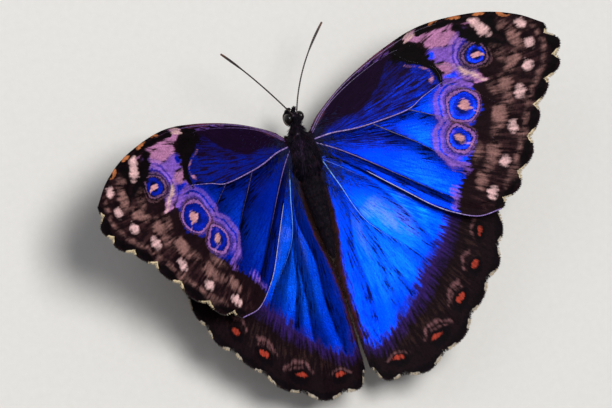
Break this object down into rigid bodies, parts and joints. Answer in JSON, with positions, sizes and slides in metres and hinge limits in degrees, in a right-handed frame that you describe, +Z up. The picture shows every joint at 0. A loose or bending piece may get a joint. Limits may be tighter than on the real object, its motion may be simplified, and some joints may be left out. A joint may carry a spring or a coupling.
{
  "type": "blue morpho butterfly",
  "caption": "Still, life-size blue morpho butterfly standing on its legs with scalloped wings spread in a shallow V and antennae raised ahead of the head.",
  "frame": {"origin": "on the floor under the middle of the spread wings", "axes": "+X to the butterfly's right, +Y ahead of its head, +Z up from the floor"},
  "size_m": [0.121, 0.082, 0.0304],
  "materials": {
    "body_hair": "matt, furred",
    "legs": "satin cuticle",
    "eyes": "polished, faceted",
    "feelers": "satin cuticle",
    "wing_scales": "structural blue sheen over dark brown edges"
  },
  "bodies": {
    "root": {"head": "body_hair", "collar": "body_hair", "thorax": "body_hair", "abdomen": "body_hair", "palp_left": "body_hair", "palp_right": "body_hair", "leg_fore_left": "legs", "leg_fore_right": "legs", "leg_mid_left": "legs", "leg_mid_right": "legs", "leg_hind_left": "legs", "leg_hind_right": "legs", "eye_left": "eyes", "eye_right": "eyes", "antenna_left": "feelers", "antenna_right": "feelers", "tongue": "feelers", "forewing_left": "wing_scales", "forewing_right": "wing_scales", "hindwing_left": "wing_scales", "hindwing_right": "wing_scales"}
  },
  "joints": []
}
